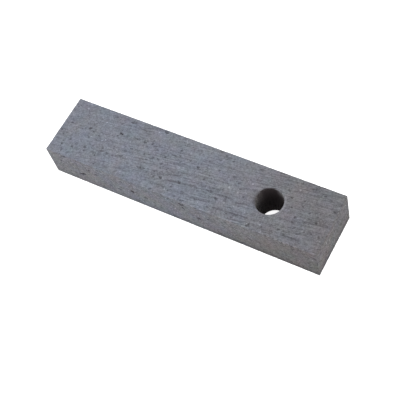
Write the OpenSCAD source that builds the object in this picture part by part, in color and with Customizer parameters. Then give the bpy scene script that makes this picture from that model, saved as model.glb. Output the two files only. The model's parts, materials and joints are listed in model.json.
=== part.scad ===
// Stove fire brick: a narrow split of dense refractory, fired in one piece,
// with eased arrises and one round hole right through it near an end.
// The origin is at the middle of the bed that it lies on. +X runs along the brick
// towards the end with the hole, and +Z points up, from the bed to the hot face.

/* [Brick] */
// Length, from end to end
brick_length = 228.6; // [150:0.1:300]
// Width of the bed and of the hot face
brick_width = 50.8; // [40:0.1:120]
// Thickness, from the bed to the hot face
brick_thickness = 31.75; // [20:0.05:80]
// Radius that the twelve arrises are eased to
arris_radius = 0.4; // [0.2:0.1:4]

/* [Hole] */
// Diameter of the hole's straight wall
hole_diameter = 21; // [6:0.1:34]
// Distance from the hole's axis to the nearer end
hole_from_end = 48.5; // [25:0.5:90]
// Distance of the hole's axis from the brick's centre line, towards the far side
hole_off_centre = 0; // [-2:0.1:2]
// Radius that each mouth of the hole is eased to
mouth_radius = 0.3; // [0.1:0.1:2]

/* [Hidden] */
brick_size = [brick_length, brick_width, brick_thickness];
brick_middle = [0, 0, brick_thickness / 2];
hole_x = brick_length / 2 - hole_from_end;
hole_radius = hole_diameter / 2;
// How far each cutter runs past the faces that it opens
overrun = 1;
hole_steps = 96;
arris_steps = 32;

// What is left outside a quarter round whose corner would be at [0, 0]
module round_off(radius) {
    difference() {
        translate([-radius, -radius])
            square(radius + overrun);
        translate([-radius, -radius])
            circle(r = radius, $fn = arris_steps);
    }
}

// Cutters for the four arrises that run along Z, round a block centred on the origin
module arris_cuts(width, depth, height, radius) {
    for (x = [0, 1], y = [0, 1])
        mirror([x, 0, 0])
            mirror([0, y, 0])
                translate([width / 2, depth / 2, -height / 2 - overrun])
                    linear_extrude(height + 2 * overrun)
                        round_off(radius);
}

// A block centred on the origin, with all twelve arrises rounded and mitred at its corners
module eased_block(size, radius) {
    difference() {
        cube(size, center = true);
        arris_cuts(size.x, size.y, size.z, radius);
        rotate([0, 90, 0])
            arris_cuts(size.z, size.y, size.x, radius);
        rotate([90, 0, 0])
            arris_cuts(size.x, size.z, size.y, radius);
    }
}

// Half section of what one mouth takes away, with the face that it opens at Y = 0
module mouth_section() {
    difference() {
        translate([0, -mouth_radius])
            square([hole_radius + mouth_radius, mouth_radius + overrun]);
        translate([hole_radius + mouth_radius, -mouth_radius])
            circle(r = mouth_radius, $fn = arris_steps);
    }
}

// The hole: a straight wall right through, and a mouth rolled open at each face
module hole_cut() {
    translate([0, 0, -overrun])
        cylinder(h = brick_thickness + 2 * overrun, d = hole_diameter, $fn = hole_steps);
    translate([0, 0, brick_thickness])
        rotate_extrude($fn = hole_steps) mouth_section();
    mirror([0, 0, 1])
        rotate_extrude($fn = hole_steps) mouth_section();
}

module fire_brick() {
    color([0.47, 0.48, 0.5])
        difference() {
            translate(brick_middle)
                eased_block(brick_size, arris_radius);
            translate([hole_x, hole_off_centre, 0])
                hole_cut();
        }
}

fire_brick();
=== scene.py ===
"""Stove fire brick: the looks of one narrow split of dense refractory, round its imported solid.

The block is modelled at the solid's own size, its hole is bridged through, and pits, drag
tears and worn arrises are worked into its surface. Lengths are metres unless a name says mm.
"""

import json
import math
import random

import bmesh
import bpy
from bpy.props import FloatProperty, FloatVectorProperty, IntProperty, PointerProperty
from mathutils import Matrix, Vector
from mathutils.kdtree import KDTree


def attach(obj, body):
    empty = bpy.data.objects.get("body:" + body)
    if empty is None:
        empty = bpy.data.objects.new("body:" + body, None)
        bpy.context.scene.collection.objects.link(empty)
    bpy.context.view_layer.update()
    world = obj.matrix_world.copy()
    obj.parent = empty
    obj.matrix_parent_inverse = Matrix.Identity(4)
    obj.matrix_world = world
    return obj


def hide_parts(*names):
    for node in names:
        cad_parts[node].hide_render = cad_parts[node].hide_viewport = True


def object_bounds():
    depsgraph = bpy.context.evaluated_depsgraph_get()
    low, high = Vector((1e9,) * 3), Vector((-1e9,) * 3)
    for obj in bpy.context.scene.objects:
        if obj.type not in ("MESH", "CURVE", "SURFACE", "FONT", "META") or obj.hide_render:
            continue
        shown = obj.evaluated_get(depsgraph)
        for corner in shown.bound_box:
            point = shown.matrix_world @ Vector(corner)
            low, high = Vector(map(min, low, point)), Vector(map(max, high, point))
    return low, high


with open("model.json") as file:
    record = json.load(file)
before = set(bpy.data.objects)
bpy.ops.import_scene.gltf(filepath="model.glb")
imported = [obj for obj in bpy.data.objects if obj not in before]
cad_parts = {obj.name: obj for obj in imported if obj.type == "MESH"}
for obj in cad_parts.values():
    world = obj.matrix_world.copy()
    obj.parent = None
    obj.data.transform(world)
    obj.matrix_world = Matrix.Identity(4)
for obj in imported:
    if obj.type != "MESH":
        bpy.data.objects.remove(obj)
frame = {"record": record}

bl_info = {
    "name": "Stove Fire Brick",
    "version": (1, 0, 0),
    "blender": (4, 5, 0),
    "location": "View3D > Sidebar > Fire Brick",
    "description": "Models a fired refractory brick with a hole, and the studio it is shown in",
    "category": "Add Mesh",
}

MM = 0.001
NODE = "fire_brick"
PIECE = "fired_brick"
# Name of the stored share of painted shade in hollows, and of darkening on worn arrises.
HOLLOW = "hollow"
# Two places this near are one place, and two directions with this cosine are one direction.
NEAR = 0.01 * MM
PARALLEL = 0.99

# The solid's own box, and its hole, which everything here is placed by.
CAD_LOW, CAD_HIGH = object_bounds()
SIZE = CAD_HIGH - CAD_LOW
MIDDLE = (CAD_LOW + CAD_HIGH) / 2
HOLE = next(m for m in frame["record"]["mounts"] if m["name"] == "through_hole")
HOLE_AXIS = Vector((HOLE["pos_m"][0], HOLE["pos_m"][1], 0))
HOLE_RADIUS = HOLE["dims"]["r_mm"] * MM
MOUTH_RADIUS = (SIZE.z - HOLE["dims"]["length_mm"] * MM) / 2
# Where light falls on the hole's wall, painted as less soot and shade: the turn in degrees from +X
# to the middle of each place, how wide it is as the cosine at its edge, the share of the soot that
# is missing, and its depth.
LIT_WALL_PLACES = ((225, 0.5, 0.9, 70 * MM), (196, 0.5, 0.42, 40 * MM), (52, 0.75, 0.9, 10 * MM))

# The six flat sides: the middle of each, the two directions that run along it, and its size.
HALF = SIZE / 2
X, Y, Z = Vector((1, 0, 0)), Vector((0, 1, 0)), Vector((0, 0, 1))
SIDES = {
    "hot_face": (MIDDLE + Z * HALF.z, X, Y, SIZE.x, SIZE.y),
    "bed": (MIDDLE - Z * HALF.z, X, Y, SIZE.x, SIZE.y),
    "near_side": (MIDDLE - Y * HALF.y, X, Z, SIZE.x, SIZE.z),
    "far_side": (MIDDLE + Y * HALF.y, X, Z, SIZE.x, SIZE.z),
    "hole_end": (MIDDLE + X * HALF.x, Y, Z, SIZE.y, SIZE.z),
    "plain_end": (MIDDLE - X * HALF.x, Y, Z, SIZE.y, SIZE.z),
}

# This brick's own blemishes, in mm from the middle of the side.
# A pit is (along, across, width), and a tear is (from along, across, to along, across, width).
PITS_MM = {
    "hot_face": [
        (-65.2, 9.4, 2.4), (-91, 4.5, 2.1), (-81, 1, 1.7), (-86, -12, 1.8), (-105, -16, 1.7),
        (-96, -15.5, 2), (-54, -3, 1.5), (-44, 9.5, 1.7), (-31, 0, 1.7), (-27, 0, 1.4),
        (-23, 4, 1.8), (-14, 13.5, 1.4), (-17.5, -13, 2.1), (4.5, 5.5, 2), (29, -12.5, 2.1),
        (47, -4, 1.5), (60, -23, 2.1), (79, 9, 1.4), (89.5, 5.5, 1.3), (103.5, -3, 2.2),
        (-88, -3.5, 1.2), (-60, 9, 1.4), (-13, 9, 1.5), (-23, -14, 1.5), (-33, 23.5, 2.1),
        (-87, 2.5, 1.5), (-100.5, -10, 1.5), (-94, -12.5, 1.4), (-85, -15, 1.8), (-75, -15.5, 1.5),
        (-87, -17.5, 1.3), (-102.5, -21.5, 1.1), (-66.5, -10.5, 1.5), (-71.5, -22.5, 1.3),
        (-51, 0.5, 1.5), (-39.5, 0.5, 0.9), (-35.5, -3.5, 1), (-23, -2.5, 1.5), (-3.5, 8.5, 1.5),
        (-10, 4, 1.2), (-4.5, -12, 1.4), (-7, -20.5, 1.2), (-20, -24.5, 1.7), (10, 13, 1.3),
        (20.5, 9, 1.5), (33, 8.5, 1.6), (17, 17.5, 1.3), (35.5, -10.5, 1.1), (46.5, -21.5, 1.3),
        (26.5, -21, 1.2), (81.5, 22.5, 1.3), (90, 21, 1.6), (106, 17, 0.9), (100.5, 19, 1.2),
        (88.5, 10, 1.4), (82.5, 2, 1.4), (96, 2.5, 1.3), (102.5, 2, 0.9), (88, -4, 1.4),
        (96, -5, 1.2), (88, -8.5, 1.4), (91, -11.5, 1), (104, -11.5, 0.9), (110, -12.5, 1.3),
        (112, 10.5, 2), (81.5, -17.5, 1.3), (86.5, -19.5, 1.6),
    ],
    "near_side": [
        (-39.5, -0.5, 3.6), (6, 11.5, 4.2), (18.5, -1, 3), (-27.5, -2, 2.4), (-71.5, 3.5, 2.4),
        (-97.5, 14.5, 2.5), (6.5, 6.5, 2.6), (-5, 12, 1.7), (-60, -4, 2), (44.5, -5.5, 1.8),
        (71.5, -9, 2), (95, 14.5, 2.2), (-77, 6.5, 2.2), (-103.5, 5, 2), (-92.5, 5.5, 1.6),
        (-52, -4.5, 2.3), (-47, 9, 1.7), (27.5, 4, 1.9), (58, 12.5, 1.6), (112.5, 8.5, 2.1),
        (107, -3, 1.9), (108, -8, 1.8), (54, -12.5, 2.2), (-69, -12.5, 2.4), (7.5, -12.5, 1.9),
    ],
}
TEARS_MM = {
    "hot_face": [
        (-73.5, -11, -70, -9.5, 1.8), (-57, -8.5, -54, -8, 1.4), (-52, 9.5, -49, 10, 1.6),
        (-39, -11.8, -32.5, -11, 1.9), (-14, -8, -3, -6, 1.6), (-13, -13, 4, -10.5, 1.8),
        (-57, -19.5, -48, -17.5, 0.7), (0, -11.5, 11, -9.5, 1.4), (8, -19.4, 26, -17.2, 1.4),
        (20.5, -9.4, 24.5, -8.8, 1.9), (26, -9.2, 41, -8.6, 1.5), (44, -10.5, 52, -8, 1.3),
        (30, -20.2, 57, -17.8, 1.6), (45, -23.5, 59, -21.5, 0.9), (94, -5, 112, -2.5, 1.1),
        (85, -20.5, 99, -19.5, 1.3), (-78, 20.4, -74.5, 21.6, 1.3), (-63, 21, -58, 22.5, 1.8),
        (-50, 21, -45, 22.5, 0.6), (0, -18.5, 5, -17.5, 1.2), (-97.5, -22, -95, -20.5, 1.2),
        (-37, 8.5, -33, 9.5, 1.1), (-35, 5.5, -30.5, 7, 1), (-48.5, -16, -42, -14.5, 0.6),
        (47.5, 21.5, 51, 22, 1.5), (18, 20.5, 24, 21.5, 0.9), (4.5, -24.5, 8, -23.5, 1.7),
        (94, -16, 97, -14.5, 1.4), (107, -3.5, 112, -2, 1),
    ],
    "near_side": [(-89.5, -6.2, -83.5, -2.6, 2.8)],
}
# Fainter drag marks of the hot face, in the same terms as its tears, made after the scatter.
FAINT_TEARS_MM = [
    (-53.5, 18.2, -43, 20, 1.1), (-50, -18.8, -42, -17.6, 0.9), (-101.5, 17.6, -97.5, 18.6, 0.9),
    (12, 23.4, 17, 24.6, 1.6), (-1, -19.3, 8, -17.6, 1), (-22, -11.3, -16, -9.6, 0.9),
    (-54.5, -19.4, -50.5, -18.4, 1.1), (-99.5, 22.3, -96, 23.5, 0.9),
]
# Crumbs lost along the rim of the hole, as from and to in degrees round from +X, and width.
RIM_CRUMBS = [(104, 117, 1.2), (117, 148, 2.5)]
# Least and greatest sizes of the blemishes that are scattered, in mm.
SMALL_PIT_WIDTHS = (0.6, 1.5)
LARGE_PIT_WIDTHS = (1.6, 3)
SMALL_TEAR_WIDTHS = (0.45, 0.8)
SMALL_TEAR_HALF_LENGTHS = (1, 4)
# Depth of a tear, of a crumb and of a small tear, as a share of its width.
TEAR_DEPTH, CRUMB_DEPTH, SMALL_TEAR_DEPTH = 0.4, 0.3, 0.5
# No pit is deeper than this, in mm.
DEEPEST_PIT = 0.9
# Distance between the points of a long hollow, in mm.
POINT_SPACING = 1.2
# Sizes of the noise that makes outlines ragged, crumbles the arrises and waves the sides.
RAGGED_SIZE, CRUMB_SIZE, WAVE_SIZE = 1.6 * MM, 2.4 * MM, 14 * MM
# The wear of an arris reaches this far from it, and the mesh is halved a little further.
WEAR_REACH, HALVED_REACH = 1.4 * MM, 1.6 * MM
# On an arris or the rim a hollow has this share of its depth, and so far from it all of it.
ARRIS_DEPTH, FULL_DEPTH_AT = 0.12, 1.5 * MM
# A hollow as narrow as the first reach gets this share of painted shade, and one of the second
# gets all of it.
NARROW_REACH, WIDE_REACH, NARROW_CAVITY_SHADE = 0.9 * MM, 1.3 * MM, 0.29
# The share of darkening on an arris where it is worn the most: painted shade in its crumbs, and
# darker broken grain.
WORN_DARKENING = 0.3

# The sides get warmer between these distances from the middle, towards both ends.
WARMING_SPAN = (15 * MM, 85 * MM)
# The drag streaks get stronger between these distances from the plain end.
STREAKS_SPAN = (20 * MM, 90 * MM)
# Painted shade starts at the first height above the bed, and is full from the second down.
BED_SHADE_SPAN = (7 * MM, 2.5 * MM)
# The pale arris starts at the first place along the brick, and is full from the second on.
FRESH_SPAN = (-25 * MM, 15 * MM)
# Soft darker patches on the long sides: how far along and above the bed, in mm, and how dark.
SIDE_DARK_PATCHES_MM = [(50, 4, 0.08), (12, 27, 0.06)]
# Soft patches on the flat faces, one tarnished and one rubbed clean: how far along and across,
# in mm, and how much narrower than a plain patch it is along and across.
TARNISHED_MM = (50, 19, 1.4, 2.5)
RUBBED_CLEAN_MM = (9, -22, 1.6, 2.8)
# A plain patch fades out at the first distance, and is at its full from the second inwards.
PATCH_EDGE, PATCH_CORE = 40 * MM, 12 * MM
# Marks on the hole's rim, two darker ones and a painted highlight: the turn in degrees from +X to
# the middle of each, the cosine at its edge and at its core, how far from the wall it ends and how
# far it is full, and its strength.
RIM_DARK_BAND = (192, 0.75, 1.0, 2.4 * MM, 0.1 * MM, 0.5)
RIM_DARK_SPOT = (124, 0.78, 0.93, 1.1 * MM, 0.2 * MM, 0.95)
RIM_HIGHLIGHT = (2, 0.8, 0.97, 2.2 * MM, 0.8 * MM, 0.35)
# Where the two softboxes hang.
KEY_PLACE, FILL_PLACE = Vector((-0.9, -0.35, 1.2)), Vector((1.4, -0.4, 0.7))


# What every setting that is a length on the brick, or a colour, has in common.
LENGTH = {"unit": "LENGTH", "precision": 5}
COLOUR = {"subtype": "COLOR", "size": 3, "min": 0, "max": 1}


def linear(red, green, blue):
    """A colour from a screen's 0 to 255 scale, as the linear numbers that a material takes."""
    shares = [channel / 255 for channel in (red, green, blue)]
    return tuple(s / 12.92 if s <= 0.04045 else ((s + 0.055) / 1.055) ** 2.4 for s in shares)


def way(degrees):
    """The level direction that is turned so far from +X towards +Y."""
    return Vector((math.cos(math.radians(degrees)), math.sin(math.radians(degrees)), 0))


class BrickShape(bpy.types.PropertyGroup):
    """Sizes of the block and of what the press, the saw and the kiln left on it."""

    cell: FloatProperty(
        name="Grid Cell", description="Width of one cell of the grid that covers each side",
        default=1.25 * MM, min=0.5 * MM, max=5 * MM, **LENGTH)
    arris_radius: FloatProperty(
        name="Arris Radius", description="Radius that the twelve arrises are eased to",
        default=0.4 * MM, min=0.2 * MM, max=4 * MM, **LENGTH)
    arris_wear: FloatProperty(
        name="Arris Wear", description="Depth of the deepest crumbs lost from an arris",
        default=0.12 * MM, min=0, max=2 * MM, **LENGTH)
    unevenness: FloatProperty(
        name="Unevenness", description="Height of the slow waves in each side",
        default=0.06 * MM, min=0, max=1 * MM, **LENGTH)
    raggedness: FloatProperty(
        name="Raggedness", description="How far the outline of a pit or a tear wanders",
        default=0.5 * MM, min=0, max=2 * MM, **LENGTH)
    small_pits: FloatProperty(
        name="Small Pits", description="Number of small pits in each square centimetre",
        default=1.3, min=0, max=5)
    large_pits: FloatProperty(
        name="Large Pits", description="Number of large pits in each square centimetre of the "
        "far side and the plain end", default=0.2, min=0, max=2)
    small_tears: FloatProperty(
        name="Small Tears", description="Number of short tears in each square centimetre",
        default=0.35, min=0, max=2)
    tear_heading: FloatProperty(
        name="Tear Heading", description="Turn of the drag tears away from the brick's length",
        default=math.radians(7), subtype="ANGLE")
    seed: IntProperty(
        name="Seed", description="Picks another scatter of small pits and tears", default=11)


class BrickFinish(bpy.types.PropertyGroup):
    """Colours and grain of the fired refractory."""

    cool_grey: FloatVectorProperty(
        name="Cool Grey", description="Colour of the flat faces at the plain end",
        **COLOUR, default=linear(126, 130, 141))
    # On the sides and ends this warmer grey is partly a painted tint of warm bounced light;
    # towards the end with the hole it is also the fire's stain.
    warm_grey: FloatVectorProperty(
        name="Warm Grey", description="Colour of the sides, and of the end that the fire reached",
        **COLOUR, default=linear(132, 129, 131))
    # The scorch warms and darkens the colour towards the end with the hole: partly the fire's
    # stain, partly painted shade of light falling off towards that end.
    scorch_and_shade_start: FloatProperty(
        name="Scorch Start", description="Where the fire's stain starts, along the brick",
        default=10 * MM, **LENGTH)
    scorch_and_shade_depth: FloatProperty(
        name="Scorch Depth", description="How much darker the stain is at the brick's end",
        default=0.2, min=0, max=1)
    # The pit colour and pit darkness are painted shade, laid on pits, tears and worn crumbs by the
    # stored share.
    pit_shade_colour: FloatVectorProperty(
        name="Pit Colour", description="Colour at the bottom of pits and tears",
        **COLOUR, default=linear(64, 60, 64))
    pit_shade_darkness: FloatProperty(
        name="Pit Darkness", description="Share of the pit colour at a pit's bottom",
        default=0.95, min=0, max=1)
    # The soot colour is partly soot, partly painted shade of the deep hole.
    soot_and_shade: FloatVectorProperty(
        name="Soot", description="Colour of the hole's wall, deep inside",
        **COLOUR, default=linear(55, 48, 50))
    grain_mm: FloatProperty(
        name="Grain (mm)", description="Width of one grain of the body, in millimetres",
        default=0.9, min=0.2, max=5)
    grain_contrast: FloatProperty(
        name="Grain Contrast", description="How much lighter and darker single grains are",
        default=0.4, min=0, max=1)
    grain_height: FloatProperty(
        name="Grain Height", description="How far single grains stand out",
        default=0.1 * MM, min=0, max=1 * MM, **LENGTH)
    streak_contrast: FloatProperty(
        name="Streak Contrast", description="How much lighter and darker the drag streaks are",
        default=0.32, min=0, max=1)
    soot_and_shade_reach: FloatProperty(
        name="Soot Reach", description="Depth inside the hole at which the soot is full",
        default=1.1 * MM, min=0.1 * MM, max=40 * MM, **LENGTH)


class StudioSettings(bpy.types.PropertyGroup):
    """Floor, light and camera."""

    floor_colour: FloatVectorProperty(
        name="Floor Colour", description="Colour of the floor", **COLOUR,
        default=(0.8, 0.8, 0.8))
    floor_size: FloatProperty(
        name="Floor Size", description="Side of the square floor", default=6, unit="LENGTH")
    floor_lift: FloatProperty(
        name="Floor Lift", description="How much lighter the floor looks than it is lit",
        default=0.9, min=0, max=1)
    sky_strength: FloatProperty(
        name="Sky Strength", description="Brightness of the even light from all round",
        default=0.6, min=0, max=5)
    key_power: FloatProperty(
        name="Key Power", description="Power of the softbox over the plain end",
        default=10, min=0, unit="POWER")
    fill_power: FloatProperty(
        name="Fill Power", description="Power of the softbox beyond the end with the hole",
        default=6.6, min=0, unit="POWER")
    azimuth: FloatProperty(
        name="Azimuth", description="Turn of the camera round the brick, from straight in front",
        default=math.radians(46), subtype="ANGLE")
    elevation: FloatProperty(
        name="Elevation", description="Height of the camera above the horizon",
        default=math.radians(58.1), subtype="ANGLE")
    roll: FloatProperty(
        name="Roll", description="Turn of the camera about its own line of sight",
        default=math.radians(-19.95), subtype="ANGLE")
    distance: FloatProperty(
        name="Distance", description="From the camera to the point that it looks at",
        default=0.7091, unit="LENGTH", precision=4)
    lens_mm: FloatProperty(
        name="Lens (mm)", description="Focal length on a sensor 36 mm wide", default=86.74)
    aim: FloatVectorProperty(
        name="Aim", description="The point that the camera looks at, from the brick's middle",
        default=(0.012, -0.0115, 0), subtype="TRANSLATION", unit="LENGTH", precision=4)


# ---- Help with selecting, and with wiring nodes ----


def deselect_all():
    """Leave object mode with nothing selected, so that an operator acts on its own object."""
    if bpy.context.object and bpy.context.object.mode != "OBJECT":
        bpy.ops.object.mode_set(mode="OBJECT")
    bpy.ops.object.select_all(action="DESELECT")


def activate(thing):
    """Make one object the only selected one, and the active one."""
    deselect_all()
    thing.select_set(True)
    bpy.context.view_layer.objects.active = thing


def pick(kind, test):
    """In edit mode, select each VERT, EDGE or FACE that passes the test, and count them."""
    bpy.ops.mesh.select_mode(type=kind)
    bpy.ops.mesh.select_all(action="DESELECT")
    data = bpy.context.object.data
    mesh = bmesh.from_edit_mesh(data)
    mesh.normal_update()
    items = {"VERT": mesh.verts, "EDGE": mesh.edges, "FACE": mesh.faces}[kind]
    chosen = [item for item in items if test(item)]
    for item in chosen:
        item.select_set(True)
    mesh.select_flush_mode()
    bmesh.update_edit_mesh(data)
    return len(chosen)


class Wiring:
    """Adds nodes to one tree. An input is given as a number, a colour or another node's output."""

    def __init__(self, tree):
        self.tree = tree

    def node(self, kind, inputs=(), **settings):
        """A new node, its inputs by name or index, and its settings."""
        made = self.tree.nodes.new(kind)
        made.location = (180 * (len(self.tree.nodes) % 12), -220 * (len(self.tree.nodes) // 12))
        for name, value in settings.items():
            setattr(made, name, value)
        for key, value in dict(inputs).items():
            self.feed(made.inputs[key], value)
        return made

    def feed(self, socket, value):
        """Link an output to a socket, or set the socket to a plain value."""
        if isinstance(value, bpy.types.NodeSocket):
            self.tree.links.new(value, socket)
        else:
            socket.default_value = value

    def math(self, operation, *values):
        return self.node("ShaderNodeMath", enumerate(values), operation=operation).outputs[0]

    def times(self, first, second):
        return self.math("MULTIPLY", first, second)

    def minus(self, first, second):
        return self.math("SUBTRACT", first, second)

    def plus(self, start, *pairs):
        """A number, plus the product of each pair."""
        for value, by in pairs:
            start = self.math("MULTIPLY_ADD", value, by, start)
        return start

    def vector(self, operation, *values):
        made = self.node("ShaderNodeVectorMath", operation=operation)
        for socket, value in zip(made.inputs, values):
            self.feed(socket, value)
        return made.outputs["Value" if operation in ("LENGTH", "DOT_PRODUCT") else "Vector"]

    def parts(self, vector):
        """A vector's X, Y and Z."""
        return self.node("ShaderNodeSeparateXYZ", {0: vector}).outputs

    def scaled(self, vector, by):
        """A vector or a colour, times a number."""
        made = self.node("ShaderNodeVectorMath", {0: vector, "Scale": by}, operation="SCALE")
        return made.outputs["Vector"]

    def ramp(self, value, low, high, to_low=0.0, to_high=1.0):
        """Eases from to_low at low to to_high at high, and stays there. Low may be the larger."""
        names = ("Value", "From Min", "From Max", "To Min", "To Max")
        made = self.node("ShaderNodeMapRange", zip(names, (value, low, high, to_low, to_high)),
                         interpolation_type="SMOOTHSTEP")
        return made.outputs["Result"]

    def noise(self, position, size, detail=2.0, roughness=0.5, output="Fac"):
        """Smooth noise whose bumps are about that size, in the position's own units."""
        inputs = {"Vector": position, "Scale": self.math("DIVIDE", 1.0, size),
                  "Detail": detail, "Roughness": roughness}
        return self.node("ShaderNodeTexNoise", inputs).outputs[output]

    def from_hole_axis(self, place):
        """The level offset of a place from the hole's axis."""
        offset = self.vector("SUBTRACT", place, HOLE_AXIS)
        return self.vector("MULTIPLY", offset, (1.0, 1.0, 0.0))

    def blend(self, share, first, second):
        """The colour between first and second, by a share from 0 to 1."""
        made = self.node("ShaderNodeMix", data_type="RGBA")
        # A Mix node keeps its colour sockets after the ones for numbers and vectors.
        for index, value in ((0, share), (6, first), (7, second)):
            if not isinstance(value, (bpy.types.NodeSocket, float)) and len(value) == 3:
                value = (*value, 1.0)
            self.feed(made.inputs[index], value)
        return made.outputs[2]


def new_group(name, kind, inputs, outputs):
    """A node group with named sockets: returns it, its wiring, and its inputs by name."""
    tree = bpy.data.node_groups.new(name, kind)
    for socket, (form, default) in inputs.items():
        made = tree.interface.new_socket(socket, in_out="INPUT", socket_type="NodeSocket" + form)
        if default is not None:
            made.default_value = default
    for socket, form in outputs.items():
        tree.interface.new_socket(socket, in_out="OUTPUT", socket_type="NodeSocket" + form)
    wiring = Wiring(tree)
    entry = wiring.node("NodeGroupInput")
    return tree, wiring, entry.outputs


def close_group(wiring, results):
    """Sends each named result out of a node group."""
    wiring.node("NodeGroupOutput", results)


# ---- The block ----


def cut_into_cells(axis, cell):
    """Cut the block into an even number of cells along one axis, all the way round."""
    def runs_along(edge):
        run = edge.verts[1].co - edge.verts[0].co
        return run.length > 3 * cell and abs(run[axis]) > PARALLEL * run.length

    pick("EDGE", runs_along)
    bpy.ops.mesh.subdivide(number_cuts=1)
    pick("EDGE", runs_along)
    bpy.ops.mesh.subdivide(number_cuts=round(SIZE[axis] / 2 / cell) - 1)


def open_hole(cell):
    """Open a square in the hot face and in the bed, and bridge them through the hole's wall."""
    reach = HOLE_RADIUS + 3 * cell

    def over_hole(face):
        away = face.calc_center_median() - HOLE_AXIS
        return abs(face.normal.z) > PARALLEL and max(abs(away.x), abs(away.y)) < reach

    pick("FACE", over_hole)
    bpy.ops.mesh.delete(type="FACE")
    points = pick("EDGE", lambda edge: edge.is_boundary) // 2
    for level, outward in ((CAD_LOW.z, -1), (CAD_HIGH.z, 1)):
        # The circle starts outside the block, so that the bridge to it cannot twist.
        bpy.ops.mesh.primitive_circle_add(
            vertices=points, radius=HOLE_RADIUS,
            location=(HOLE_AXIS.x, HOLE_AXIS.y, level + outward * cell))
        pick("EDGE", lambda edge: (edge.is_boundary or edge.is_wire)
             and all((v.co.z - level) * outward > -cell / 2 for v in edge.verts))
        bpy.ops.mesh.bridge_edge_loops(number_cuts=4, interpolation="LINEAR")
        pick("VERT", lambda vert: (vert.co.z - level) * outward > NEAR / 10)
        bpy.ops.transform.resize(value=(1, 1, 0), center_override=(0, 0, level))
    pick("EDGE", lambda edge: edge.is_boundary)
    bpy.ops.mesh.bridge_edge_loops(number_cuts=round(SIZE.z / cell) - 1, interpolation="LINEAR")
    bpy.ops.mesh.select_all(action="SELECT")
    bpy.ops.mesh.normals_make_consistent()

    def on_rim(edge):
        return all(abs((v.co - HOLE_AXIS).xy.length - HOLE_RADIUS) < NEAR
                   and min(v.co.z - CAD_LOW.z, CAD_HIGH.z - v.co.z) < NEAR
                   for v in edge.verts)

    pick("EDGE", on_rim)
    bpy.ops.mesh.bevel(offset=MOUTH_RADIUS, segments=2, affect="EDGES")


class FIREBRICK_OT_block(bpy.types.Operator):
    """Model the block at the solid's size, with eased arrises, gridded sides and its hole"""

    bl_idname = "firebrick.block"
    bl_label = "Model the Block"

    def execute(self, context):
        shape = context.scene.firebrick_shape
        deselect_all()
        bpy.ops.mesh.primitive_cube_add(size=1, location=MIDDLE, scale=SIZE)
        brick = context.object
        brick.name = brick.data.name = PIECE
        bpy.ops.object.transform_apply()
        bpy.ops.object.mode_set(mode="EDIT")
        bpy.ops.mesh.select_all(action="SELECT")
        bpy.ops.mesh.bevel(offset=shape.arris_radius, segments=2, affect="EDGES")
        for axis in range(3):
            cut_into_cells(axis, shape.cell)
        open_hole(shape.cell)
        bpy.ops.mesh.select_all(action="SELECT")
        brick.data.uv_layers[0].name = "OFBake"
        bpy.ops.uv.smart_project(angle_limit=math.radians(66), island_margin=0.004)
        bpy.ops.object.mode_set(mode="OBJECT")
        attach(brick, "root")
        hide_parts(NODE)
        return {"FINISHED"}


# ---- Pits, tears and wear ----


class Blemishes:
    """Lines of points along the pits and tears, each with how far and how deep it reaches."""

    def __init__(self, seed):
        self.draw = random.Random(seed)
        self.points, self.lines, self.reach, self.depth = [], [], [], []

    def line(self, side, start, end, width, depth):
        """One hollow from start to end, in mm on a side. It wanders, and thins to its ends."""
        middle, along, across, _, _ = SIDES[side]
        start, end = Vector(start), Vector(end)
        steps = max(1, round((end - start).length / POINT_SPACING))
        drift = 0.0
        for step in range(steps + 1):
            share = step / steps
            # It strays a little more at each point, and is pulled part of the way back.
            drift = 0.7 * drift + self.draw.uniform(-0.2, 0.2) * (steps > 2)
            spot = start.lerp(end, share) + Vector((0, drift))
            swell = 1.0 if steps < 3 else (0.6 + 0.5 * math.sin(math.pi * share))
            swell *= self.draw.uniform(0.8, 1.2) if steps > 2 else 1.0
            if step:
                self.lines.append((len(self.points) - 1, len(self.points)))
            self.points.append(middle + (along * spot.x + across * spot.y) * MM)
            self.reach.append(width / 2 * swell * MM)
            self.depth.append(depth * swell * MM)

    def tear(self, side, from_along, from_across, to_along, to_across, width):
        """A tear is a hollow that something dragged from one place to another."""
        self.line(side, (from_along, from_across), (to_along, to_across), width,
                  TEAR_DEPTH * width)

    def pit(self, side, along, across, width):
        """A pit is a hollow hardly longer than it is wide, that lies about along the side."""
        turn = self.draw.uniform(-0.6, 0.8)
        half_length = min(width, 1.6) * self.draw.uniform(0.1, 0.4)
        half = Vector((math.cos(turn), math.sin(turn))) * half_length
        spot = Vector((along, across))
        depth = min(DEEPEST_PIT, width * self.draw.uniform(0.4, 0.6))
        self.line(side, spot - half, spot + half, width, depth)

    def scatter(self, side, per_cm2, make):
        """Make so many blemishes at random places on a side, in mm from its middle."""
        _, _, _, length, height = SIDES[side]
        for _ in range(round(per_cm2 * length * height * 1e4)):
            half_length, half_height = length / 2 / MM, height / 2 / MM
            make(side, self.draw.uniform(-half_length, half_length),
                 self.draw.uniform(-half_height, half_height))

    def helper(self):
        """The lines as a mesh object, for the relief to measure its distance from."""
        data = bpy.data.meshes.new("blemishes")
        data.from_pydata(self.points, self.lines, [])
        for name, values in (("reach", self.reach), ("depth", self.depth)):
            data.attributes.new(name, "FLOAT", "POINT").data.foreach_set("value", values)
        made = bpy.data.objects.new("blemishes", data)
        bpy.context.scene.collection.objects.link(made)
        return made


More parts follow.
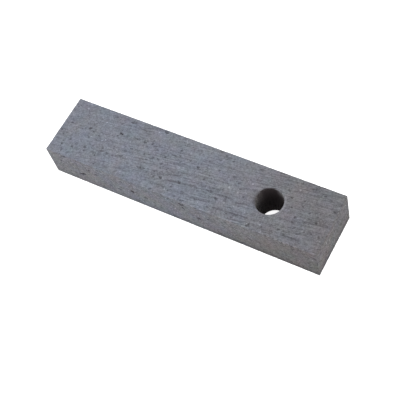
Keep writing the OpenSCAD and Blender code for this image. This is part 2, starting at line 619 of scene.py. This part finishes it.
def all_blemishes(shape):
    """This brick's own pits and tears, and a scatter of small ones over every side."""
    found = Blemishes(shape.seed)
    for side, pits in PITS_MM.items():
        for pit in pits:
            found.pit(side, *pit)
    for side, tears in TEARS_MM.items():
        for tear in tears:
            found.tear(side, *tear)
    for from_turn, to_turn, width in RIM_CRUMBS:
        ends = [(HOLE_AXIS - MIDDLE + way(turn) * (HOLE_RADIUS + 0.4 * MM)).xy / MM
                for turn in (from_turn, to_turn)]
        found.line("hot_face", *ends, width, CRUMB_DEPTH * width)

    def small_pit(side, along, across):
        """A small pit, more often near the least width than near the greatest."""
        least, greatest = SMALL_PIT_WIDTHS
        width = least + (greatest - least) * found.draw.random() ** 3
        found.pit(side, along, across, width)

    def large_pit(side, along, across):
        found.pit(side, along, across, found.draw.uniform(*LARGE_PIT_WIDTHS))

    def small_tear(side, along, across):
        turn = shape.tear_heading + found.draw.uniform(-0.08, 0.08)
        half = Vector((math.cos(turn), math.sin(turn)))
        half = half * found.draw.uniform(*SMALL_TEAR_HALF_LENGTHS)
        spot = Vector((along, across))
        width = found.draw.uniform(*SMALL_TEAR_WIDTHS)
        found.line(side, spot - half, spot + half, width, SMALL_TEAR_DEPTH * width)

    for side in SIDES:
        found.scatter(side, shape.small_pits, small_pit)
    for side in ("hot_face", "bed"):
        found.scatter(side, shape.small_tears, small_tear)

    # Two sides have none of their own above, and get a few as large as the near side's.
    for side in ("far_side", "plain_end"):
        found.scatter(side, shape.large_pits, large_pit)
    for tear in FAINT_TEARS_MM:
        found.tear("hot_face", *tear)
    return found


def refine(brick, found, margin, rounds):
    """Halve the faces that lie near a blemish, and the ones along the arrises once."""
    tree = KDTree(len(found.points))
    for index, point in enumerate(found.points):
        tree.insert(point, index)
    tree.balance()

    def near_blemish(spot, span):
        _, index, distance = tree.find(spot)
        return distance < found.reach[index] + margin + span / 2

    def near_arris(spot):
        from_sides = sorted(HALF[i] - abs(spot[i] - MIDDLE[i]) for i in range(3))
        return from_sides[1] < HALVED_REACH

    activate(brick)
    bpy.ops.object.mode_set(mode="EDIT")
    for turn in range(rounds):
        def wanted(face):
            spot = face.calc_center_median()
            span = max(edge.calc_length() for edge in face.edges)
            return near_blemish(spot, span) or (turn == 0 and near_arris(spot))

        pick("FACE", wanted)
        bpy.ops.mesh.subdivide(number_cuts=1, quadcorner="INNERVERT")
    pick("FACE", lambda face: len(face.verts) > 4)
    bpy.ops.mesh.quads_convert_to_tris()
    bpy.ops.mesh.select_all(action="SELECT")
    bpy.ops.mesh.dissolve_degenerate(threshold=NEAR / 10)
    bpy.ops.object.mode_set(mode="OBJECT")


def relief_group(shape, blemishes):
    """Geometry nodes that sink the surface at blemishes, wave it slowly and wear its arrises."""
    tree, wire, given = new_group(
        "Fired Relief", "GeometryNodeTree", {"Geometry": ("Geometry", None)},
        {"Geometry": "Geometry"})
    place = wire.node("GeometryNodeInputPosition").outputs["Position"]
    normal = wire.node("GeometryNodeInputNormal").outputs["Normal"]
    lines = wire.node("GeometryNodeObjectInfo", {"Object": blemishes}).outputs["Geometry"]

    # How far in a blemish the surface is: 0 just beyond its reach, and 1 from half way in.
    wander = wire.vector(
        "SUBTRACT", wire.noise(place, RAGGED_SIZE, detail=3.0, output="Color"), (0.5, 0.5, 0.5))
    ragged = wire.vector("ADD", place, wire.scaled(wander, 2 * shape.raggedness))
    away = wire.node(
        "GeometryNodeProximity", {0: lines, "Sample Position": ragged}, target_element="EDGES")
    nearest = wire.node("GeometryNodeSampleNearest",
                        {"Geometry": lines, "Sample Position": ragged}).outputs["Index"]

    def at_nearest(name):
        value = wire.node("GeometryNodeInputNamedAttribute", {"Name": name}).outputs["Attribute"]
        return wire.node("GeometryNodeSampleIndex",
                         {"Geometry": lines, "Value": value, "Index": nearest}).outputs["Value"]

    reach = at_nearest("reach")
    hollow = wire.ramp(wire.math("DIVIDE", away.outputs["Distance"], reach), 1.15, 0.5)
    sunk = wire.times(hollow, at_nearest("depth"))
    # Painted shade in a hollow, with less of it in a narrow one.
    cavity_shade = wire.times(hollow, wire.ramp(reach, NARROW_REACH, WIDE_REACH, NARROW_CAVITY_SHADE, 1.0))

    # The second smallest distance to a side is the distance from the nearest arris.
    from_middle = wire.vector("ABSOLUTE", wire.vector("SUBTRACT", place, MIDDLE))
    inside = wire.parts(wire.vector("SUBTRACT", HALF, from_middle))
    lower = wire.math("MINIMUM", inside["X"], inside["Y"])
    upper = wire.math("MAXIMUM", inside["X"], inside["Y"])
    from_arris = wire.math("MAXIMUM", lower, wire.math("MINIMUM", upper, inside["Z"]))
    from_axis = wire.vector("LENGTH", wire.from_hole_axis(place))
    from_wall = wire.math("ABSOLUTE", wire.minus(from_axis, HOLE_RADIUS))
    from_rim = wire.math("MAXIMUM", from_wall, inside["Z"])

    # A hollow gets shallower towards an arris or the rim, where the surface would fold.
    from_fold = wire.math("MINIMUM", from_arris, from_rim)
    sunk = wire.times(sunk, wire.ramp(from_fold, 0.0, FULL_DEPTH_AT, ARRIS_DEPTH, 1.0))
    crumbs = wire.ramp(wire.noise(place, CRUMB_SIZE, detail=3.0, roughness=0.65), 0.45, 0.8)
    worn = wire.times(wire.ramp(from_arris, WEAR_REACH, 0.2 * MM), crumbs)
    worn_by = wire.times(worn, 2 * shape.arris_wear)
    waves = wire.times(wire.noise(place, WAVE_SIZE), shape.unevenness)
    total = wire.math("ADD", wire.math("MAXIMUM", sunk, worn_by), waves)
    offset = wire.scaled(normal, wire.times(total, -1.0))
    # The painted shade of the hollows and the darkening of worn arrises, which the material shows,
    # is stored first: it is measured from where the surface was.
    shown = wire.math("MAXIMUM", cavity_shade, wire.times(worn, WORN_DARKENING))
    stored = wire.node(
        "GeometryNodeStoreNamedAttribute",
        {"Geometry": given["Geometry"], "Name": HOLLOW, "Value": shown},
        data_type="FLOAT", domain="POINT")
    moved = wire.node(
        "GeometryNodeSetPosition", {"Geometry": stored.outputs["Geometry"], "Offset": offset})
    close_group(wire, {"Geometry": moved.outputs["Geometry"]})
    return tree


class FIREBRICK_OT_relief(bpy.types.Operator):
    """Work pits, drag tears, slow waves and worn arrises into the block"""

    bl_idname = "firebrick.relief"
    bl_label = "Work the Surface"

    def execute(self, context):
        shape = context.scene.firebrick_shape
        brick = bpy.data.objects[PIECE]
        found = all_blemishes(shape)
        refine(brick, found, margin=0.15 * MM, rounds=2)
        helper = found.helper()
        activate(brick)
        relief = brick.modifiers.new("Fired Relief", "NODES")
        relief.node_group = relief_group(shape, helper)
        bpy.ops.object.modifier_apply(modifier=relief.name)
        bpy.data.objects.remove(helper)
        bpy.ops.object.shade_smooth()
        return {"FINISHED"}


# ---- The finish ----


def grain_group():
    """Grog grains in a finer body: lighter and darker ones, and how high they stand."""
    tree, wire, given = new_group(
        "Grog Grain", "ShaderNodeTree", {"Place": ("Vector", None), "Size": ("Float", 1.0)},
        {"Shade": "Float", "Height": "Float"})
    size = given["Size"]
    fine = wire.noise(given["Place"], wire.times(size, 0.6), detail=3.0)
    cloud = wire.noise(given["Place"], wire.times(size, 4.0))
    ragged = wire.vector("ADD", given["Place"], wire.noise(
        given["Place"], size, detail=3.0, output="Color"))
    shade = wire.times(wire.minus(cloud, 0.5), 0.6)
    shade = wire.plus(shade, (wire.minus(fine, 0.5), 2.0))
    for grog_size, contrast in ((0.9, 1.0), (1.6, 0.55)):
        grogs = wire.node("ShaderNodeTexVoronoi", {
            "Vector": ragged, "Scale": wire.math("DIVIDE", 1 / grog_size, size)})
        tones = wire.node("ShaderNodeSeparateColor", {0: grogs.outputs["Color"]}).outputs
        shade = wire.plus(shade, (wire.minus(tones["Red"], 0.5), contrast))
    # A few of the larger grains are pale.
    fleck = wire.times(wire.ramp(tones["Green"], 0.988, 0.99),
                       wire.ramp(grogs.outputs["Distance"], 0.5, 0.35))
    height = wire.plus(fine, (grogs.outputs["Distance"], -0.5))
    close_group(wire, {"Shade": wire.plus(shade, (fleck, 1.7)), "Height": height})
    return tree


def streak_group():
    """Drag marks that all run one way: how light or dark they are, and how deep they cut."""
    tree, wire, given = new_group(
        "Drag Streaks", "ShaderNodeTree",
        {"Place": ("Vector", None), "Length": ("Float", 17.0), "Width": ("Float", 0.8),
         "Heading": ("Float", 0.0)},
        {"Shade": "Float", "Groove": "Float"})
    turned = wire.node(
        "ShaderNodeVectorRotate",
        {"Vector": given["Place"], "Angle": wire.times(given["Heading"], -1.0)},
        rotation_type="Z_AXIS").outputs["Vector"]
    parts = wire.parts(turned)
    stretch = wire.math("DIVIDE", given["Length"], given["Width"])
    squeezed = wire.node("ShaderNodeCombineXYZ", {
        "X": wire.math("DIVIDE", parts["X"], stretch), "Y": parts["Y"], "Z": parts["Z"]})
    lines = wire.noise(squeezed.outputs[0], given["Width"], roughness=0.55)
    shade = wire.times(wire.minus(lines, 0.5), 4.0)
    close_group(wire, {"Shade": shade, "Groove": wire.ramp(lines, 0.46, 0.34)})
    return tree


def drift_group():
    """Slow drifts of hue: a colour close to white, to multiply the body by."""
    tree, wire, given = new_group(
        "Hue Drift", "ShaderNodeTree",
        {"Place": ("Vector", None), "Size": ("Float", 12.0), "Amount": ("Float", 1.0)},
        {"Tint": "Color"})
    drift = wire.vector("SUBTRACT", wire.noise(
        given["Place"], given["Size"], roughness=0.6, output="Color"), (0.5, 0.5, 0.5))
    parts = wire.parts(wire.scaled(drift, given["Amount"]))
    rust = wire.scaled((0.16, 0.0, -0.16), parts["X"])
    moss = wire.scaled((-0.06, 0.13, -0.06), parts["Y"])
    tint = wire.vector("ADD", wire.vector("ADD", rust, moss), (1.0, 1.0, 1.0))
    close_group(wire, {"Tint": tint})
    return tree


def placed(wire, tree, **inputs):
    """The outputs of a node group placed in a material, with its inputs fed by name."""
    group = wire.node("ShaderNodeGroup", node_tree=tree)
    for name, value in inputs.items():
        wire.feed(group.inputs[name], value)
    return group.outputs


def brick_material(finish, heading):
    """The fired refractory: mottled grey, grained and streaked, with painted shade in hollows, and
    soot and painted shade in the hole.
    """
    material = bpy.data.materials.new("Fired Refractory")
    material.use_nodes = True
    wire = Wiring(material.node_tree)
    shader = material.node_tree.nodes["Principled BSDF"]
    object_place = wire.node("ShaderNodeTexCoord").outputs["Object"]
    place = wire.scaled(object_place, 1 / MM)
    parts = wire.parts(object_place)
    facing = wire.node("ShaderNodeNewGeometry").outputs["Normal"]
    facing = wire.parts(wire.vector("ABSOLUTE", facing))
    on_side = wire.ramp(facing["Z"], 0.8, 0.4)
    on_flat = wire.minus(1.0, on_side)
    on_end = wire.ramp(facing["X"], 0.6, 0.9)
    # The stored share of painted shade in hollows, and of darkening on worn arrises.
    hollow = wire.node("ShaderNodeAttribute", attribute_name=HOLLOW).outputs["Fac"]

    def patch(centre, narrowing):
        """1 at the middle of a soft patch and 0 outside it, and narrower along some axes."""
        away = wire.vector("SUBTRACT", object_place, Vector(centre) * MM)
        away = wire.vector("LENGTH", wire.vector("MULTIPLY", away, narrowing))
        return wire.ramp(away, PATCH_EDGE, PATCH_CORE)

    # The flat faces are tarnished in one place, and rubbed clean in another.
    tarnished, rubbed_clean = (
        patch((along, across, 0), (by_length, by_width, 0))
        for along, across, by_length, by_width in (TARNISHED_MM, RUBBED_CLEAN_MM))
    tarnish = wire.times(wire.minus(tarnished, rubbed_clean), on_flat)

    # Body colour: cool on the flat faces, warmer on the sides and where the fire reached; the flat
    # faces against the sides and ends are a painted tint of cool light from above and warm bounced
    # light.
    wander = wire.minus(wire.noise(place, 18.0, detail=3.0), 0.5)
    scorch_and_shade = wire.ramp(wire.plus(parts["X"], (wander, 60 * MM)), finish.scorch_and_shade_start, CAD_HIGH.x)
    along = wire.ramp(parts["X"], CAD_LOW.x, CAD_HIGH.x, 0.0, 0.25)
    to_ends = wire.ramp(wire.math("ABSOLUTE", parts["X"]), *WARMING_SPAN, 0.2, 0.56)
    warmth = wire.plus(along, (wander, 0.8), (scorch_and_shade, 0.45), (on_side, to_ends),
                       (tarnish, 0.25), (on_end, 0.27))
    body = wire.blend(warmth, finish.cool_grey, finish.warm_grey)
    drift = placed(wire, drift_group(), Place=place, Amount=wire.plus(1.0, (on_side, 0.3)))
    body = wire.vector("MULTIPLY", body, drift["Tint"])

    # Light and dark: the scorched end, partly painted shade where less light reaches it, the
    # grains, and the drag streaks of the flat faces.
    grain = placed(wire, grain_group(), Place=place, Size=finish.grain_mm)
    streaks = placed(wire, streak_group(), Place=place, Heading=heading)
    dragged = wire.times(
        on_flat, wire.ramp(wire.noise(place, 30.0, detail=1.0), 0.3, 0.65, 0.5, 1.0))
    weaker, full = (CAD_LOW.x + distance for distance in STREAKS_SPAN)
    dragged = wire.times(dragged, wire.ramp(parts["X"], weaker, full, 0.5, 1.0))
    streak_contrast = wire.times(dragged, finish.streak_contrast)
    contrast = finish.grain_contrast
    grain_contrast = wire.plus(contrast, (on_side, 0.52 * contrast), (on_end, 0.35 * contrast))
    shade = wire.plus(1.0, (grain["Shade"], grain_contrast), (streaks["Shade"], streak_contrast))
    # Painted shade: the scorch darkens the sides more and the end less.
    burn_and_shade = finish.scorch_and_shade_depth
    burn_and_shade = wire.plus(burn_and_shade, (on_side, 0.3 * burn_and_shade), (on_end, -0.12 * burn_and_shade))
    scorched_and_shaded = wire.minus(1.0, wire.times(scorch_and_shade, burn_and_shade))

    # Painted shade that darkens the sides towards the bed, most in a band just above it, and the
    # soft darker patches.
    above_bed = wire.minus(parts["Z"], CAD_LOW.z)
    at_bed = wire.times(wire.ramp(above_bed, *BED_SHADE_SPAN),
                        wire.ramp(parts["X"], CAD_LOW.x, HOLE_AXIS.x, 0.1, 0.28))
    bed_shade_and_patches = wire.math("ADD", wire.ramp(above_bed, SIZE.z, 0.0, 0.0, 0.06), at_bed)
    for along, above, darkness in SIDE_DARK_PATCHES_MM:
        bed_shade_and_patches = wire.plus(bed_shade_and_patches, (patch((along, 0, above), (1, 0, 2.5)), darkness))
    bed_shade_and_patches = wire.plus(wire.times(bed_shade_and_patches, on_side), (tarnish, 0.035))
    unshaded = wire.minus(1.0, bed_shade_and_patches)
    body = wire.scaled(body, wire.times(shade, wire.times(scorched_and_shaded, unshaded)))
    # Painted shade: hollows are darkened towards the pit shade colour.
    dark = wire.times(hollow, finish.pit_shade_darkness)
    pitted = wire.blend(dark, body, finish.pit_shade_colour)

    # Soot and painted shade on the hole's wall, with painted light as less of it where light falls
    # on the wall.
    from_axis = wire.from_hole_axis(object_place)
    from_hole = wire.minus(wire.vector("LENGTH", from_axis), HOLE_RADIUS)
    from_middle = wire.math("ABSOLUTE", wire.minus(parts["Z"], MIDDLE.z))
    from_end = wire.minus(HALF.z, from_middle)

    def towards(turn):
        """The cosine of the turn round the hole from that way, where its wall is."""
        return wire.vector("DOT_PRODUCT", from_axis, way(turn) / HOLE_RADIUS)

    # Soot and painted shade, full a little way inside the hole.
    soot_and_shade = wire.ramp(from_end, 0.0, finish.soot_and_shade_reach)
    for turn, edge, missing, depth in LIT_WALL_PLACES:
        lit_wall = wire.times(wire.ramp(from_end, depth, 0.0), wire.ramp(towards(turn), edge, 0.97))
        soot_and_shade = wire.times(soot_and_shade, wire.plus(1.0, (lit_wall, -missing)))
    soot_and_shade = wire.times(soot_and_shade, wire.ramp(from_hole, 0.5 * MM, 0.1 * MM))

    def rim_mark(turn, edge, core, ends_at, full_to, strength):
        """A soft mark on one side of the rim."""
        return wire.times(wire.ramp(from_hole, ends_at, full_to, 0.0, strength),
                          wire.ramp(towards(turn), edge, core))

    # It reaches darker over the rim on two sides of the hole, and the rim has a painted highlight
    # on another.
    soot_and_shade = wire.math("MAXIMUM", soot_and_shade, wire.times(rim_mark(*RIM_DARK_BAND), on_flat))
    soot_and_shade = wire.math("MAXIMUM", soot_and_shade, rim_mark(*RIM_DARK_SPOT))
    rim_highlight = rim_mark(*RIM_HIGHLIGHT)

    # Crumbs lost from one arris of the hot face left it pale, more so towards the hole.
    from_arris = wire.math("MAXIMUM", wire.minus(parts["Y"], CAD_LOW.y),
                           wire.minus(CAD_HIGH.z, parts["Z"]))
    fresh = wire.times(wire.ramp(from_arris, 1.3 * MM, 0.5 * MM, 0.0, 0.36),
                       wire.ramp(parts["X"], *FRESH_SPAN, 0.1, 1.0))
    fresh = wire.times(fresh, wire.ramp(wire.noise(place, 3.0, detail=3.0), 0.42, 0.6))
    # The rim's painted highlight and the pale arris lighten the colour.
    pitted = wire.scaled(pitted, wire.math("ADD", wire.math("MAXIMUM", rim_highlight, fresh), 1.0))
    wire.feed(shader.inputs["Base Color"], wire.blend(soot_and_shade, pitted, finish.soot_and_shade))

    wire.feed(shader.inputs["Roughness"], wire.plus(0.98, (grain["Height"], -0.15)))
    shader.inputs["Specular IOR Level"].default_value = 0.25
    groove = wire.times(streaks["Groove"], dragged)
    height = wire.plus(grain["Height"], (groove, -1.2))
    bump = wire.node("ShaderNodeBump", {"Height": height, "Distance": finish.grain_height})
    wire.feed(shader.inputs["Normal"], bump.outputs["Normal"])
    return material


class FIREBRICK_OT_finish(bpy.types.Operator):
    """Give the brick its fired refractory surface"""

    bl_idname = "firebrick.finish"
    bl_label = "Apply the Finish"

    def execute(self, context):
        scene = context.scene
        brick = bpy.data.objects[PIECE]
        brick.data.materials.clear()
        brick.data.materials.append(
            brick_material(scene.firebrick_finish, scene.firebrick_shape.tear_heading))
        return {"FINISHED"}


# ---- The studio ----


def seen_directly(wire):
    """1 for a ray from the camera, a mirror or glass, and 0 for one that carries light."""
    path = wire.node("ShaderNodeLightPath").outputs
    seen = wire.math("MAXIMUM", path["Is Camera Ray"], path["Is Glossy Ray"])
    return wire.math("MAXIMUM", seen, path["Is Transmission Ray"])


def floor_material(studio):
    """A plain pale floor that looks lighter than it is lit, and keeps the brick's shadow."""
    material = bpy.data.materials.new("Pale Floor")
    material.use_nodes = True
    wire = Wiring(material.node_tree)
    shader = material.node_tree.nodes["Principled BSDF"]
    shader.inputs["Base Color"].default_value = (*studio.floor_colour, 1)
    shader.inputs["Roughness"].default_value = 0.9
    shader.inputs["Specular IOR Level"].default_value = 0.0
    lift = wire.times(seen_directly(wire), studio.floor_lift)
    glow = wire.node("ShaderNodeEmission", {"Color": (1, 1, 1, 1), "Strength": lift})
    both = wire.node("ShaderNodeAddShader", {0: shader.outputs[0], 1: glow.outputs[0]})
    output = material.node_tree.nodes["Material Output"]
    material.node_tree.links.new(both.outputs[0], output.inputs["Surface"])
    return material


def add_softbox(name, place, power):
    """A softbox a metre square that faces the brick and is itself out of sight."""
    bpy.ops.object.light_add(type="AREA", location=place)
    lamp = bpy.context.object
    lamp.name = lamp.data.name = name
    lamp.data.size = 1.0
    lamp.data.energy = power
    lamp.visible_camera = False
    lamp.rotation_euler = (MIDDLE - place).to_track_quat("-Z", "Y").to_euler()


def add_world(studio):
    """Even light from all round, white where it is seen directly."""
    world = bpy.data.worlds.new("Studio")
    bpy.context.scene.world = world
    world.use_nodes = True
    wire = Wiring(world.node_tree)
    seen = seen_directly(wire)
    strength = wire.plus(studio.sky_strength, (seen, 1.0 - studio.sky_strength))
    background = world.node_tree.nodes["Background"]
    background.inputs["Color"].default_value = (1, 1, 1, 1)
    wire.feed(background.inputs["Strength"], strength)


def add_camera(studio):
    """The camera, placed by its turn, height and distance round the point that it looks at."""
    bpy.ops.object.camera_add()
    camera = bpy.context.object
    camera.name = camera.data.name = "camera"
    camera.data.lens = studio.lens_mm
    camera.data.sensor_width = 36
    flat = math.cos(studio.elevation)
    back = Vector((math.sin(studio.azimuth) * flat, -math.cos(studio.azimuth) * flat,
                   math.sin(studio.elevation)))
    turn = (-back).to_track_quat("-Z", "Y").to_matrix() @ Matrix.Rotation(studio.roll, 3, "Z")
    camera.rotation_euler = turn.to_euler()
    camera.location = MIDDLE + Vector(studio.aim) + back * studio.distance
    camera.data.clip_start = 0.01
    bpy.context.scene.camera = camera


class FIREBRICK_OT_studio(bpy.types.Operator):
    """Set up the floor, the soft light and the camera"""

    bl_idname = "firebrick.studio"
    bl_label = "Set Up the Studio"

    def execute(self, context):
        studio = context.scene.firebrick_studio
        deselect_all()
        bpy.ops.mesh.primitive_plane_add(size=studio.floor_size, location=(0, 0, CAD_LOW.z))
        floor = context.object
        floor.name = floor.data.name = "floor"
        bpy.ops.object.transform_apply()
        floor.data.materials.append(floor_material(studio))
        add_softbox("key_softbox", KEY_PLACE, studio.key_power)
        add_softbox("fill_softbox", FILL_PLACE, studio.fill_power)
        add_world(studio)
        add_camera(studio)
        context.scene.view_settings.view_transform = "Standard"
        return {"FINISHED"}


# ---- The panel and the run ----


class FIREBRICK_PT_panel(bpy.types.Panel):
    """Lists the steps that make the brick and its studio, with their settings"""

    bl_idname = "FIREBRICK_PT_panel"
    bl_label = "Fire Brick"
    bl_space_type = "VIEW_3D"
    bl_region_type = "UI"
    bl_category = "Fire Brick"

    def draw(self, context):
        for operator, group in STEPS:
            box = self.layout.box()
            box.operator(operator.bl_idname)
            settings = getattr(context.scene, group)
            for name in settings.bl_rna.properties.keys():
                if name not in ("rna_type", "name"):
                    box.prop(settings, name)


STEPS = (
    (FIREBRICK_OT_block, "firebrick_shape"),
    (FIREBRICK_OT_relief, "firebrick_shape"),
    (FIREBRICK_OT_finish, "firebrick_finish"),
    (FIREBRICK_OT_studio, "firebrick_studio"),
)
GROUPS = {
    "firebrick_shape": BrickShape,
    "firebrick_finish": BrickFinish,
    "firebrick_studio": StudioSettings,
}
CLASSES = (*GROUPS.values(), *(operator for operator, _ in STEPS), FIREBRICK_PT_panel)


def register():
    for cls in CLASSES:
        bpy.utils.register_class(cls)
    for name, cls in GROUPS.items():
        setattr(bpy.types.Scene, name, PointerProperty(type=cls))


def unregister():
    for name in GROUPS:
        delattr(bpy.types.Scene, name)
    for cls in reversed(CLASSES):
        bpy.utils.unregister_class(cls)


def main():
    register()
    bpy.ops.firebrick.block()
    bpy.ops.firebrick.relief()
    bpy.ops.firebrick.finish()
    bpy.ops.firebrick.studio()


if __name__ == "__main__":
    main()
